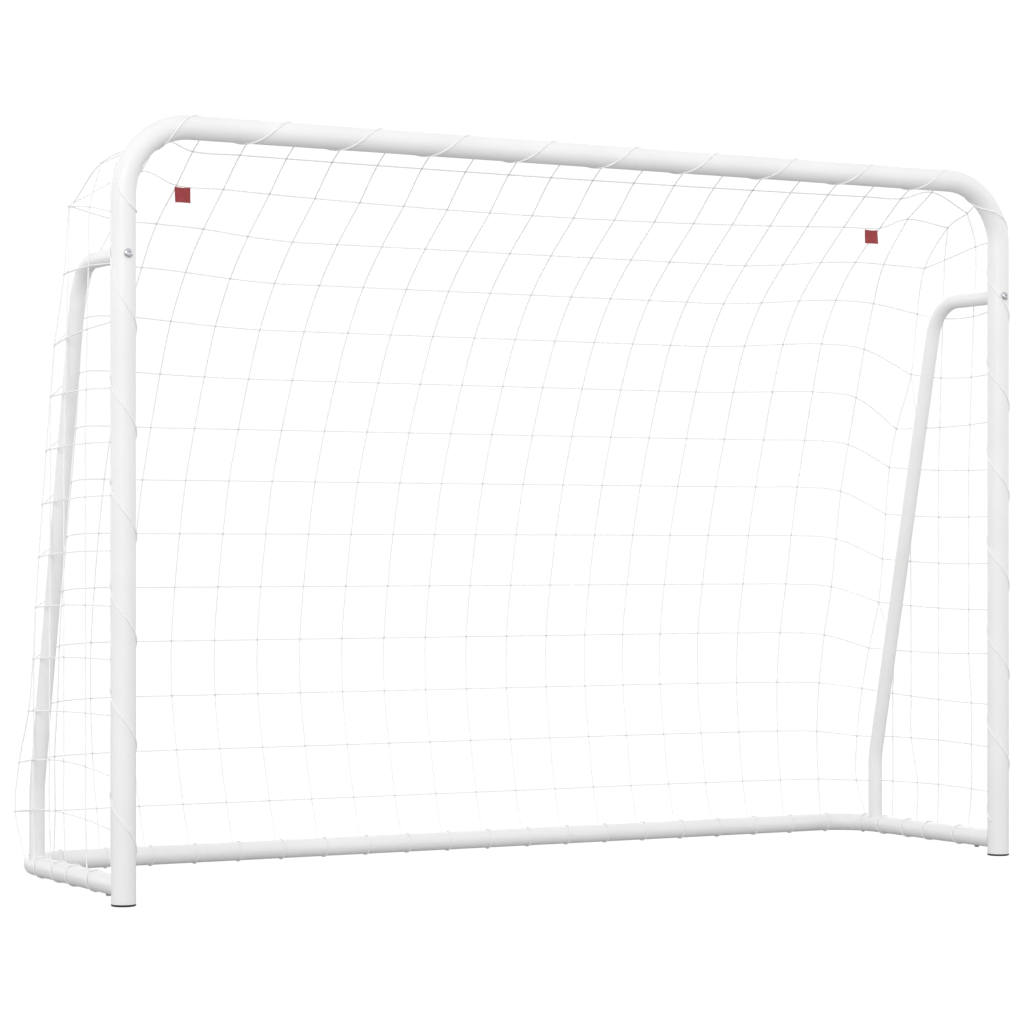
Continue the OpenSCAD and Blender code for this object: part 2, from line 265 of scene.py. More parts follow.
def powder_coat():
    """White powder-coated steel: a fine orange-peel skin with barely visible clouding."""
    material, tree, shader, coords = new_material("white_powder_coat")
    place = coords.outputs["Object"]
    cloud = noise_node(tree, place, 9.0, 3.0)
    tint = ramp_node(tree, cloud.outputs["Fac"], 0.3, (0.82, 0.82, 0.815), 0.7, (0.86, 0.86, 0.858))
    sheen = noise_node(tree, place, 35.0, 2.0)
    gloss = range_node(tree, sheen.outputs["Fac"], 0.30, 0.42)
    peel = noise_node(tree, place, 620.0, 1.5)
    grain = noise_node(tree, place, 2400.0, 1.0)
    wave = bump_node(tree, peel.outputs["Fac"], 0.25, 0.00025)
    skin = bump_node(tree, grain.outputs["Fac"], 0.10, 0.00008, wave.outputs["Normal"])
    wire(tree, shader, tint, gloss, skin)
    shader.inputs["Specular IOR Level"].default_value = 0.45
    return material


def galvanised():
    """Zinc-plated steel of the parts inside the tubes."""
    material, tree, shader, coords = new_material("zinc_plate")
    place = coords.outputs["Object"]
    spangle = tree.nodes.new("ShaderNodeTexVoronoi")
    spangle.inputs["Scale"].default_value = 260.0
    link(tree, place, spangle.inputs["Vector"])
    tint = ramp_node(tree, spangle.outputs["Distance"], 0.1, (0.62, 0.64, 0.66), 0.9, (0.44, 0.46, 0.49))
    fine = noise_node(tree, place, 900.0, 2.0)
    gloss = range_node(tree, fine.outputs["Fac"], 0.28, 0.50)
    skin = bump_node(tree, fine.outputs["Fac"], 0.15, 0.0001)
    wire(tree, shader, tint, gloss, skin)
    shader.inputs["Metallic"].default_value = 1.0
    return material


def bright_steel():
    """Polished bolt heads with faint turning marks."""
    material, tree, shader, coords = new_material("bright_bolt_steel")
    place = coords.outputs["Object"]
    fine = noise_node(tree, place, 1500.0, 2.0)
    tint = ramp_node(tree, fine.outputs["Fac"], 0.3, (0.50, 0.51, 0.53), 0.7, (0.68, 0.69, 0.71))
    gloss = range_node(tree, fine.outputs["Fac"], 0.16, 0.30)
    skin = bump_node(tree, fine.outputs["Fac"], 0.12, 0.00006)
    wire(tree, shader, tint, gloss, skin)
    shader.inputs["Metallic"].default_value = 1.0
    return material


def black_plastic():
    """Moulded black plastic with a fine matt grain."""
    material, tree, shader, coords = new_material("black_plastic")
    place = coords.outputs["Object"]
    grain = noise_node(tree, place, 1400.0, 2.0)
    tint = ramp_node(tree, grain.outputs["Fac"], 0.3, (0.012, 0.012, 0.013), 0.7, (0.024, 0.024, 0.026))
    gloss = range_node(tree, grain.outputs["Fac"], 0.42, 0.60)
    skin = bump_node(tree, grain.outputs["Fac"], 0.30, 0.00015)
    wire(tree, shader, tint, gloss, skin)
    return material


def twisted_cord(name, tone):
    """White polyethylene cord: strands that wind round it, from the UVs that run along each cord, with
    painted shade making the grooves between the strands a little darker.
    """
    material, tree, shader, coords = new_material(name)
    strands = tree.nodes.new("ShaderNodeTexWave")
    strands.wave_type = "BANDS"
    strands.bands_direction = "DIAGONAL"
    strands.inputs["Scale"].default_value = 0.95
    strands.inputs["Distortion"].default_value = 0.6
    strands.inputs["Detail"].default_value = 1.0
    link(tree, coords.outputs["UV"], strands.inputs["Vector"])
    fuzz = noise_node(tree, coords.outputs["Object"], 1800.0, 2.0)
    # Painted shade: where the strand bands are low, in the grooves of the bump, the colour is 4% darker
    # than the cord's tone
    low = tuple(0.96 * c for c in tone)
    tint = ramp_node(tree, strands.outputs["Fac"], 0.0, low, 0.55, tone)
    twist = bump_node(tree, strands.outputs["Fac"], 0.45, 0.0002)
    skin = bump_node(tree, fuzz.outputs["Fac"], 0.2, 0.0001, twist.outputs["Normal"])
    gloss = range_node(tree, fuzz.outputs["Fac"], 0.42, 0.60)
    wire(tree, shader, tint, gloss, skin)
    shader.inputs["Sheen Weight"].default_value = 0.15
    shader.inputs["Subsurface Weight"].default_value = 0.35
    shader.inputs["Subsurface Radius"].default_value = (1.0, 1.0, 1.0)
    shader.inputs["Subsurface Scale"].default_value = 0.002
    return material


def red_weave():
    """Red woven label: warp and weft ribs, with painted shade darker between the threads and a random fade
    in tone.
    """
    material, tree, shader, coords = new_material("red_woven_tag")
    warp = tree.nodes.new("ShaderNodeTexWave")
    warp.bands_direction = "X"
    warp.inputs["Scale"].default_value = 9.0
    weft = tree.nodes.new("ShaderNodeTexWave")
    weft.bands_direction = "Y"
    weft.inputs["Scale"].default_value = 9.0
    link(tree, coords.outputs["UV"], warp.inputs["Vector"])
    link(tree, coords.outputs["UV"], weft.inputs["Vector"])
    cross = tree.nodes.new("ShaderNodeMath")
    cross.operation = "MAXIMUM"
    link(tree, warp.outputs["Fac"], cross.inputs[0])
    link(tree, weft.outputs["Fac"], cross.inputs[1])
    fade = noise_node(tree, coords.outputs["Object"], 160.0, 3.0)
    mix = tree.nodes.new("ShaderNodeMath")
    mix.operation = "MULTIPLY"
    link(tree, cross.outputs["Value"], mix.inputs[0])
    link(tree, fade.outputs["Fac"], mix.inputs[1])
    # Painted shade: the red darkens where the ribs are low, between the threads, times a random fade in
    # tone
    tint = ramp_node(tree, mix.outputs["Value"], 0.05, (0.26, 0.024, 0.028), 0.6, (0.44, 0.055, 0.062))
    skin = bump_node(tree, cross.outputs["Value"], 0.6, 0.0003)
    link(tree, tint.outputs["Color"], shader.inputs["Base Color"])
    link(tree, skin.outputs["Normal"], shader.inputs["Normal"])
    shader.inputs["Roughness"].default_value = 0.8
    shader.inputs["Sheen Weight"].default_value = 0.2
    return material


# ---- Curves ----

def clamp(value):
    """The value, kept between 0 and 1."""
    return min(1, max(0, value))


def ease(share):
    """From 0 to 1, with a level start and a level end."""
    return share * share * (3 - 2 * share)


def cubic(u, a, slope_a, b, slope_b):
    """A smooth curve from a to b with a slope given at each end; u runs from 0 to 1."""
    return ((2 * u ** 3 - 3 * u ** 2 + 1) * a + (u ** 3 - 2 * u ** 2 + u) * slope_a
            + (3 * u ** 2 - 2 * u ** 3) * b + (u ** 3 - u ** 2) * slope_b)


# ---- Mesh building ----

class Shape:
    """Points and faces that become one mesh, with a UV for each corner of each face."""

    def __init__(self):
        self.points = []
        self.faces = []
        self.uvs = []

    def face(self, corners, uvs):
        self.faces.append(tuple(corners))
        self.uvs.extend(uvs)

    def ring_strip(self, first, second, count, low, high):
        """Quads between two rings of points; low and high are the UV lengths along the shape."""
        for k in range(count):
            after = (k + 1) % count
            quad = (first + k, first + after, second + after, second + k)
            left = k / count
            right = (k + 1) / count
            self.face(quad, [(left, low), (right, low), (right, high), (left, high)])

    def cap(self, first, count, middle, flip):
        """A shallow cone that closes a ring of points."""
        tip = len(self.points)
        self.points.append(middle)
        for k in range(count):
            after = (k + 1) % count
            corners = (first + after, first + k, tip) if flip else (first + k, first + after, tip)
            self.face(corners, [(0, 0), (1, 0), (0.5, 0.5)])

    def build(self, name, material, nodes, sharp=None):
        mesh = bpy.data.meshes.new(name)
        mesh.from_pydata([tuple(p) for p in self.points], [], self.faces)
        layer = mesh.uv_layers.new(name="UVMap")
        layer.data.foreach_set("uv", [c for uv in self.uvs for c in uv])
        mesh.polygons.foreach_set("use_smooth", [True] * len(mesh.polygons))
        if sharp is not None:
            mesh.set_sharp_from_angle(angle=math.radians(sharp))
        mesh.materials.append(material)
        piece = bpy.data.objects.new(name, mesh)
        bpy.context.scene.collection.objects.link(piece)
        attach(piece, "root")
        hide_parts(*nodes)


def tangents(path):
    last = len(path) - 1
    return [(path[min(i + 1, last)] - path[max(i - 1, 0)]).normalized() for i in range(last + 1)]


def add_cord(shape, path, radius, sides=6, loop=False):
    """A round cord swept along a path, with rounded ends unless it closes on itself."""
    along = tangents(path)
    if loop:
        along[0] = along[-1] = (path[1] - path[-2]).normalized()
    start_ref = z_axis if abs(along[0].z) < 0.8 else x_axis
    across = along[0].cross(start_ref).normalized()
    travelled = 0.0
    rings = []
    lengths = []
    for i, point in enumerate(path):
        across = (across - along[i] * across.dot(along[i])).normalized()
        over = along[i].cross(across)
        if i:
            travelled += (point - path[i - 1]).length
        rings.append(len(shape.points))
        lengths.append(travelled / (2 * math.pi * radius))
        for k in range(sides):
            a = 2 * math.pi * k / sides
            shape.points.append(point + radius * (math.cos(a) * across + math.sin(a) * over))
    for i in range(len(path) - 1):
        shape.ring_strip(rings[i], rings[i + 1], sides, lengths[i], lengths[i + 1])
    if not loop:
        shape.cap(rings[0], sides, path[0] - 0.5 * radius * along[0], True)
        shape.cap(rings[-1], sides, path[-1] + 0.5 * radius * along[-1], False)


def smooth_path(nodes, step=cord_step):
    """A smooth line through the nodes, with a point about every step."""
    path = [nodes[0]]
    last = len(nodes) - 1
    for i in range(last):
        a, b = nodes[i], nodes[i + 1]
        length = (b - a).length
        before = nodes[i - 1] if i else a
        after = nodes[i + 2] if i + 2 <= last else b
        slope_a = (b - before) / max((b - a).length + (a - before).length, 1e-9) * length
        slope_b = (after - a) / max((after - b).length + (b - a).length, 1e-9) * length
        count = max(1, round(length / step))
        for j in range(1, count + 1):
            path.append(cubic(j / count, a, slope_a, b, slope_b))
    return path


def bent_path(corners, radii, straight_step=0.04, turn_step=math.radians(3)):
    """The centre line of a bent tube: straight between its corners, with an arc at each inner one."""
    path = []
    previous = corners[0]
    for i in range(1, len(corners)):
        if i == len(corners) - 1:
            path += straight_points(previous, corners[i], straight_step)
            path.append(corners[i])
            break
        before = (corners[i] - corners[i - 1]).normalized()
        after = (corners[i + 1] - corners[i]).normalized()
        turn = before.angle(after)
        tangent = radii[i - 1] * math.tan(turn / 2)
        start = corners[i] - before * tangent
        inward = (after - before * after.dot(before)).normalized()
        centre = start + inward * radii[i - 1]
        path += straight_points(previous, start, straight_step)
        steps = max(2, round(turn / turn_step))
        for j in range(steps):
            a = turn * j / steps
            path.append(centre + radii[i - 1] * (math.sin(a) * before - math.cos(a) * inward))
        previous = corners[i] + after * tangent
    return path


def straight_points(start, end, step):
    """Points from start to end, without the end itself."""
    count = max(1, round((end - start).length / step))
    return [start.lerp(end, j / count) for j in range(count)]


def tube_rings(shape, path, radius, side, sides, cut_start, cut_end):
    """Rings of points round a tube's path, with its end rings slid along to meet what they touch."""
    along = tangents(path)
    rings = []
    for i, point in enumerate(path):
        over = along[i].cross(side)
        ring = []
        for k in range(sides):
            a = 2 * math.pi * k / sides
            spot = point + radius * (math.cos(a) * side + math.sin(a) * over)
            if i == 0 and cut_start is not None:
                spot = cut_start(spot)
            if i == len(path) - 1 and cut_end is not None:
                spot = cut_end(spot)
            ring.append(spot)
        rings.append(len(shape.points))
        shape.points.extend(ring)
    return rings


def add_tube(shape, path, radius, side, cut_start=None, cut_end=None, sides=64):
    """A hollow tube with rounded lips, swept along a path that lies in one plane; side is square to it."""
    lip = 0.0003
    outer = tube_rings(shape, path, radius, side, sides, cut_start, cut_end)
    inner = tube_rings(shape, path, radius - wall, side, sides, cut_start, cut_end)
    along = tangents(path)
    last = len(path) - 1
    edges = []
    for i, sign in ((0, -1), (last, 1)):
        edges.append(len(shape.points))
        over = along[i].cross(side)
        cut = cut_start if i == 0 else cut_end
        for k in range(sides):
            a = 2 * math.pi * k / sides
            out = math.cos(a) * side + math.sin(a) * over
            spot = path[i] + (radius - wall / 2) * out
            if cut is not None:
                spot = cut(spot)
            shape.points.append(spot + sign * lip * along[i])
    travelled = 0.0
    for i in range(last):
        ahead = travelled + (path[i + 1] - path[i]).length
        shape.ring_strip(outer[i], outer[i + 1], sides, travelled, ahead)
        shape.ring_strip(inner[i + 1], inner[i], sides, ahead, travelled)
        travelled = ahead
    shape.ring_strip(edges[0], outer[0], sides, 0, lip)
    shape.ring_strip(inner[0], edges[0], sides, 0, lip)
    shape.ring_strip(outer[last], edges[1], sides, 0, lip)
    shape.ring_strip(edges[1], inner[last], sides, 0, lip)


def add_turned(shape, profile, centre, axis, sides=48, outline=None):
    """A turned solid: profile gives (distance along the axis, radius); outline may bend a ring's radius."""
    side = axis.orthogonal().normalized()
    over = axis.cross(side)
    rings = []
    for step, (height, radius) in enumerate(profile):
        rings.append(len(shape.points))
        for k in range(sides):
            a = 2 * math.pi * k / sides
            r = radius if outline is None else outline(step, radius, a)
            shape.points.append(centre + height * axis + r * (math.cos(a) * side + math.sin(a) * over))
    for i in range(len(profile) - 1):
        shape.ring_strip(rings[i], rings[i + 1], sides, profile[i][0], profile[i + 1][0])
    shape.cap(rings[0], sides, centre + profile[0][0] * axis, True)
    shape.cap(rings[-1], sides, centre + profile[-1][0] * axis, False)


# ---- Steel tubes ----

def make_crossbar(material):
    shape = Shape()
    path = bent_path([Vector((-bar_joint_x, post_y, bar_z)), Vector((bar_joint_x, post_y, bar_z))], [])
    add_tube(shape, path, tube_r, y_axis)
    shape.build("crossbar_tube", material, ["crossbar"], sharp=crease)


def make_post(side, name, material):
    shape = Shape()
    foot = Vector((side * post_x, post_y, cap_t))
    corner = Vector((side * post_x, post_y, bar_z))
    joint = Vector((side * bar_joint_x, post_y, bar_z))
    path = bent_path([foot, corner, joint], [corner_bend_r])
    add_tube(shape, path, tube_r, y_axis)
    shape.build("post_tube_" + name, material, ["post_" + name], sharp=crease)


def make_base_rear(material):
    shape = Shape()
    path = bent_path([Vector((-base_joint_x, base_y, base_z)), Vector((base_joint_x, base_y, base_z))], [])
    add_tube(shape, path, base_r, z_axis)
    shape.build("base_rear_bar", material, ["base_rear_tube"], sharp=crease)


def against_post(side):
    """Slides a point along Y onto the back of a post."""
    radius = tube_r + end_gap

    def slide(spot):
        across = spot.x - side * post_x
        return Vector((spot.x, post_y + math.sqrt(radius ** 2 - across ** 2), spot.z))
    return slide


def onto_base(side):
    """Slides a point down onto the top of a base side tube."""
    def slide(spot):
        across = spot.x - side * post_x
        return Vector((spot.x, spot.y, base_z + math.sqrt(base_r ** 2 - across ** 2)))
    return slide


def make_base_side(side, name, material):
    shape = Shape()
    start = Vector((side * post_x, post_y + tube_r, base_z))
    corner = Vector((side * post_x, base_y, base_z))
    joint = Vector((side * base_joint_x, base_y, base_z))
    path = bent_path([start, corner, joint], [base_bend_r])
    add_tube(shape, path, base_r, z_axis, cut_start=against_post(side))
    shape.build("base_side_tube_" + name, material, ["base_side_" + name], sharp=crease)


def stay_corners(side):
    x = side * post_x
    return [Vector((x, post_y + tube_r, bolt_z)), Vector((x, post_y + knee_depth, bolt_z)),
            Vector((x, post_y + foot_depth, kink_z)), Vector((x, post_y + foot_depth, base_z + base_r))]


def make_stay(side, name, material):
    shape = Shape()
    path = bent_path(stay_corners(side), [knee_bend_r, kink_bend_r])
    add_tube(shape, path, stay_r, x_axis, against_post(side), onto_base(side), sides=48)
    shape.build("stay_tube_" + name, material, ["stay_" + name], sharp=crease)


def make_foot_cap(side, name, material):
    """A black end cap: a bevelled flange under the post, and a ribbed plug inside it."""
    shape = Shape()
    flange_r = (cap_high.x - cap_low.x) / 2
    plug_r = tube_r - wall - 0.0001
    profile = [(0.0, flange_r - 0.0022), (0.0003, flange_r - 0.0010), (0.0009, flange_r - 0.0002),
               (0.0016, flange_r), (cap_t - 0.0006, flange_r), (cap_t - 0.0002, flange_r - 0.0003),
               (cap_t, flange_r - 0.0008), (cap_t, plug_r - 0.0006), (cap_t + 0.001, plug_r - 0.0006)]
    for rib in range(3):
        z = cap_t + 0.003 + 0.004 * rib
        profile += [(z, plug_r - 0.0006), (z + 0.0006, plug_r), (z + 0.0016, plug_r),
                    (z + 0.0022, plug_r - 0.0006)]
    top = cap_high.z
    profile += [(top - 0.0008, plug_r - 0.0008), (top, plug_r - 0.0016), (top, plug_r - 0.0028),
                (cap_t + 0.001, plug_r - 0.0032)]
    add_turned(shape, profile, Vector((side * post_x, post_y, 0)), z_axis, 64)
    shape.build("foot_cap_part_" + name, material, ["foot_cap_" + name], sharp=crease)


def hexagon(radius, a):
    """Distance from the middle of a hexagon to its outline; radius is half its width across flats."""
    sector = math.radians(60)
    return radius / math.cos((a % sector) - sector / 2)


def make_bolts(material):
    """Domed bolt heads with a hexagon socket, on shanks that run through the posts into the stays."""
    shape = Shape()
    socket = 0.0025
    rim = 0.0007
    top_r = socket + 0.0011
    shank_r = 0.0040
    shank_end = post_y - tube_r - bolt_high.y
    profile = [(shank_end, shank_r - 0.0012), (shank_end + 0.0010, shank_r), (-0.0001, shank_r),
               (-0.0001, bolt_head_r - 0.0004), (0.0003, bolt_head_r)]
    for step in range(9):
        a = math.radians(90) * step / 8
        radius = bolt_head_r - (bolt_head_r - top_r) * (1 - math.cos(a))
        profile.append((rim + (bolt_head_t - rim) * math.sin(a), radius))
    first_socket_ring = len(profile)
    profile += [(bolt_head_t - 0.0001, socket + 0.0004), (bolt_head_t - 0.0006, socket),
                (bolt_head_t - 0.0026, socket), (bolt_head_t - 0.0029, socket - 0.0006)]

    def outline(step, radius, a):
        return hexagon(radius, a) if step >= first_socket_ring else radius

    for side in (-1, 1):
        centre = Vector((side * post_x, post_y - tube_r, bolt_z))
        add_turned(shape, profile, centre, Vector((0, -1, 0)), 48, outline)
    shape.build("stay_bolt_heads", material, ["stay_bolts"], sharp=crease)


# ---- The frame's centre line, which the edge cord and the lacing follow ----
corner_x = post_x - corner_bend_r
corner_z = bar_z - corner_bend_r
# The lacing starts this high above the floor; lengths along it are counted from there
lacing_z = 0.060
leg_l = corner_z - lacing_z
arc_l = corner_bend_r * math.pi / 2
lacing_l = 2 * (leg_l + arc_l + corner_x)
lacing_pitch = 0.160
lacing_phase = 0.117


def frame_place(s):
    """Centre and outward direction of the frame's tube, s metres along it from the lacing's left end."""
    if s > lacing_l / 2:
        centre, out = frame_place(lacing_l - s)
        return Vector((-centre.x, centre.y, centre.z)), Vector((-out.x, out.y, out.z))
    if s <= leg_l:
        return Vector((-post_x, post_y, lacing_z + s)), Vector((-1, 0, 0))
    if s <= leg_l + arc_l:
        a = (s - leg_l) / corner_bend_r
        out = Vector((-math.cos(a), 0, math.sin(a)))
        return Vector((-corner_x, post_y, corner_z)) + corner_bend_r * out, out
    return Vector((-corner_x + s - leg_l - arc_l, post_y, bar_z)), z_axis


# ---- Net: where its nodes are ----

def curve_value(profile, place):
    """Smooth value of a profile of (place, value) pairs."""
    places = [p[0] for p in profile]
    i = min(max(bisect.bisect_right(places, place) - 1, 0), len(profile) - 2)

    def slope(j):
        low, high = max(j - 1, 0), min(j + 1, len(profile) - 1)
        return (profile[high][1] - profile[low][1]) / (places[high] - places[low])

    width = places[i + 1] - places[i]
    u = clamp((place - places[i]) / width)
    return cubic(u, profile[i][1], width * slope(i), profile[i + 1][1], width * slope(i + 1))


def middle_rows():
    """Heights of the rows in the middle of the back panel, one mesh apart along the net."""
    heights = []
    step = 0.0005
    z = first_row_z
    run = mesh_size - first_row_arc
    depth = curve_value(bag_middle, z)
    while len(heights) < len(right_seam_rows):
        z += step
        ahead = curve_value(bag_middle, z)
        run += math.hypot(step, ahead - depth)
        depth = ahead
        if run >= mesh_size:
            heights.append(z)
            run -= mesh_size
    return heights


def inset(x):
    """How far a place lies in from the nearer side seam."""
    return max(0.0, net_half - abs(x))


def back_depth(x, z):
    """How far behind the post axes the back panel lies."""
    seam, taper = (right_seam, right_taper) if x > 0 else (left_seam, left_taper)
    hollow = 1 - (1 - clamp(inset(x) / taper)) ** 2
    return curve_value(seam, z) * (1 - hollow) + curve_value(bag_middle, z) * hollow


def column_x(k):
    return net_half * (2 * k / (column_count - 1) - 1)


def at(x, depth, z):
    """A place by its distance behind the post axes."""
    return Vector((x, post_y + depth, z))


row_middle = middle_rows()
row_count = len(row_middle)
# Rows rise towards a seam from rise_start to rise_end in from it, then turn down to it over seam_reach
seam_reach = 0.133
rise_start = 0.42
rise_end = 0.16
# The next five lists run from the top row down. How far the rows rise towards a seam
row_rise = [0.016, 0.014, 0.011, 0.005]
# How much of the columns' lean each row has
column_lean = [1.0, 1.0, 0.9, 0.5, 0.1]
# How far the columns spread outwards where the bag is full
column_spread = [0, 0, 0.001, 0.003, 0.0055, 0.0075, 0.0075, 0.0075, 0.0075, 0.007, 0.005, 0.002]
# How far the column beside the left or the right seam is gathered inwards, or outwards where below 0
left_gather = [0.014, -0.008, -0.010, -0.006, -0.003]
right_gather = [0.008, -0.008, -0.010, -0.006, -0.003]
# The columns lean left by lean_middle, and at lean_span from the middle by lean_side more,
# times the share of the side that they are on
lean_middle = 0.004
lean_side = 0.014
lean_span = 0.69
left_lean = 0.6
right_lean = 1.25
# The right seam's top crossing is drawn in
right_corner_pull = 0.010


def from_top(values, row):
    """The value for a row in a list that runs from the top row down, or none below its end."""
    place = row_count - 1 - row
    return values[place] if place < len(values) else 0.0


def back_node(k, row):
    """Crossing of a column and a row on the back panel; row 0 is the lowest."""
    x = column_x(k)
    near = 1 - clamp(inset(x) / seam_reach)
    rise = 1 - clamp((inset(x) - rise_end) / (rise_start - rise_end))
    seam_z = (right_seam_rows if x > 0 else left_seam_rows)[row]
    z = row_middle[row] + from_top(row_rise, row) * ease(rise)
    z += (seam_z - z) * near ** 2
    if k in (1, column_count - 2):
        x += from_top(left_gather, row) if x < 0 else -from_top(right_gather, row)
    if 0 < k < column_count - 1:
        x += from_top(column_spread, row) * math.sin(math.pi * x / net_half)
        growth = lean_side * (right_lean if x > 0 else left_lean)
        x -= from_top(column_lean, row) * (lean_middle + growth * (x / lean_span) ** 2)
    elif row == row_count - 1 and x > 0:
        x -= right_corner_pull
    return at(x, back_depth(x, z), z)


# Where the two lines by the frame cross the left and the right seam cord, and the column beside them:
# place along X, distance behind the post axes, height
first_line_ends = [(-0.845, 0.076, 1.147), (0.827, 0.076, 1.156)]
first_line_beside = (0.745, 0.072, 1.189)
second_line_ends = [(-0.853, 0.172, 1.095), (0.845, 0.158, 1.138)]
second_line_beside = (0.748, 0.150, 1.148)


def line_x(k):
    """Place along X of an inner column on the two lines by the frame; it leans left on the right half."""
    x = column_x(k)
    return x - 0.009 * max(0, x / 0.6) ** 2


def line_corner_node(k, ends, beside):
    """A node on a seam cord or on the column beside it, or None for a column further in."""
    if k in (0, column_count - 1):
        return at(*ends[0 if k == 0 else 1])
    if k in (1, column_count - 2):
        return at(math.copysign(beside[0], column_x(k)), beside[1], beside[2])
    return None


def second_line_node(k):
    """The net's second line in from the frame, where the roof turns down into the back panel."""
    corner = line_corner_node(k, second_line_ends, second_line_beside)
    if corner is not None:
        return corner
    x = line_x(k)
    return at(x, 0.140, 1.113 + 0.0145 * min(1, abs(x) / 0.65) ** 2)


def first_line_node(k):
    """The first line in from the frame."""
    corner = line_corner_node(k, first_line_ends, first_line_beside)
    if corner is not None:
        return corner
    x = line_x(k)
    return at(x, 0.075, 1.1705 + 0.004 * (x / 0.7) ** 2)


# How far round the tube from outwards to the back the edge cord lies on the posts, and how much more
# on the crossbar. It moves over in edge_shift_run metres, from edge_shift_lead before mid-corner
post_edge_turn = math.radians(38)
bar_edge_turn = math.radians(44)
edge_shift_lead = 0.08
edge_shift_run = 0.10


def edge_place(s):
    """The net's edge cord on the back of the frame; s runs up the left post, over and down the right."""
    centre, out = frame_place(s)
    corner = leg_l + arc_l / 2
    share = clamp((min(s, lacing_l - s) - corner + edge_shift_lead) / edge_shift_run)
    turn = post_edge_turn + bar_edge_turn * ease(share)
    return centre + (tube_r + cord_r + 0.0002) * (math.cos(turn) * out + math.sin(turn) * y_axis)


def edge_node(k):
    """Where a column is knotted to the edge cord."""
    x = column_x(k)
    if k in (0, column_count - 1):
        s = leg_l + arc_l / 2
        return edge_place(s if x < 0 else lacing_l - s)
    if k in (1, column_count - 2):
        return edge_place(lacing_l / 2 + math.copysign(0.725, x))
    return edge_place(lacing_l / 2 + line_x(k))


# ---- Net: side panels ----
# Depths of a side panel's upright cords in the flat part, and the number of rows that each crosses
side_lines = [(0.111, 12), (0.203, 12), (0.268, 9), (0.345, 4)]
# From the top row down: how much each panel's rows bow up in the middle, or sag where below 0
right_bow = [0.007, -0.015, -0.009] + 7 * [-0.004] + 2 * [0.006]
left_bow = 10 * [0.003] + 2 * [0.013]
# From the top row down: how far the two front uprights bend forward towards the roof
side_forward = [0.020, 0.014, 0.008, 0.004]
# Row 0 is the lowest. On the right panel the third upright hangs this much further back in rows 1 to 6,
# and the front one this much further forward in rows 0 to 2
third_upright_back = 0.020
front_upright_forward = 0.009


def side_x(share):
    """How far from the middle a side panel lies; it swells a little between post and seam."""
    return net_half + 0.0008 + 0.003 * math.sin(math.pi * share)


def side_node(side, row, line):
    """A crossing of a side panel's row and one of its upright cords."""
    depth = side_lines[line][0] - (from_top(side_forward, row) if line < 2 else 0)
    if side > 0 and line == 2 and 0 < row < 7:
        depth += third_upright_back
    if side > 0 and line == 0 and row < 3:
        depth -= front_upright_forward
    seam = seam_node(side, row)
    post = post_node(side, row)
    share = (depth - (post.y - post_y)) / (seam.y - post.y)
    bow = from_top(right_bow if side > 0 else left_bow, row)
    z = post.z + (seam.z - post.z) * share + bow * 4 * share * (1 - share)
    return at(side * side_x(share), depth, z)


def post_node(side, row):
    """Where a side panel's row is knotted to the edge cord."""
    z = (right_post_rows if side > 0 else left_post_rows)[row]
    s = z - lacing_z if z < corner_z else leg_l + corner_bend_r * math.asin((z - corner_z) / corner_bend_r)
    return edge_place(s if side < 0 else lacing_l - s)


def seam_node(side, row):
    """Where a side panel's row is knotted to the seam cord."""
    return back_node(0 if side < 0 else column_count - 1, row)


# A cord's end round a base tube: the angle it starts at, from outwards over the top, and how far it turns
back_wrap = (28, -330)
side_wrap = (18, -320)
# How far it moves along the tube meanwhile
wrap_drift = 0.005
# Sine of the furthest angle round a rear corner bend of the base at which a cord is tied
corner_wrap_limit = 0.906


def wrap(centre, out, axis, start, turn):
    """Points of a cord's turn round a base tube; angles run from out, over the top."""
    points = []
    steps = 22
    for i in range(steps + 1):
        a = math.radians(start + turn * i / steps)
        ring = math.cos(a) * out + math.sin(a) * z_axis
        points.append(centre + (base_r + cord_r + 0.0001) * ring + axis * wrap_drift * i / steps)
    return points


def base_wrap_back(k):
    """A column's end: down behind the rear base tube, round it and back over its top."""
    x = column_x(k)
    limit = post_x - base_bend_r
    if abs(x) <= limit:
        centre = Vector((x, base_y, base_z))
        return wrap(centre, y_axis, x_axis, *back_wrap)
    a = math.asin(min(corner_wrap_limit, (abs(x) - limit) / base_bend_r))
    out = Vector((math.copysign(math.sin(a), x), math.cos(a), 0))
    hub = Vector((math.copysign(limit, x), base_y - base_bend_r, base_z))
    axis = Vector((out.y, -out.x, 0))
    return wrap(hub + base_bend_r * out, out, axis, *back_wrap)


def base_wrap_side(side, depth):
    """An upright side cord's end, round the base side tube."""
    centre = Vector((side * post_x, post_y + depth, base_z))
    return wrap(centre, Vector((side, 0, 0)), y_axis, *side_wrap)


# ---- Net: cords and knots ----

def add_knot(shape, centre, across, up):
    """A small hitch where two cords cross: a trefoil of thin cord pressed flat."""
    across = across.normalized()
    out = across.cross(up).normalized()
    up = out.cross(across)
    size = 0.00052
    knot_cord_r = 0.0007
    path = []
    steps = 18
    for i in range(steps + 1):
        a = 2 * math.pi * i / steps
        reach = 2 + math.cos(3 * a)
        path.append(centre + size * (reach * math.cos(2 * a) * across + reach * math.sin(2 * a) * up
                                     + 1.3 * math.sin(3 * a) * out))
    add_cord(shape, path, knot_cord_r, 5, loop=True)


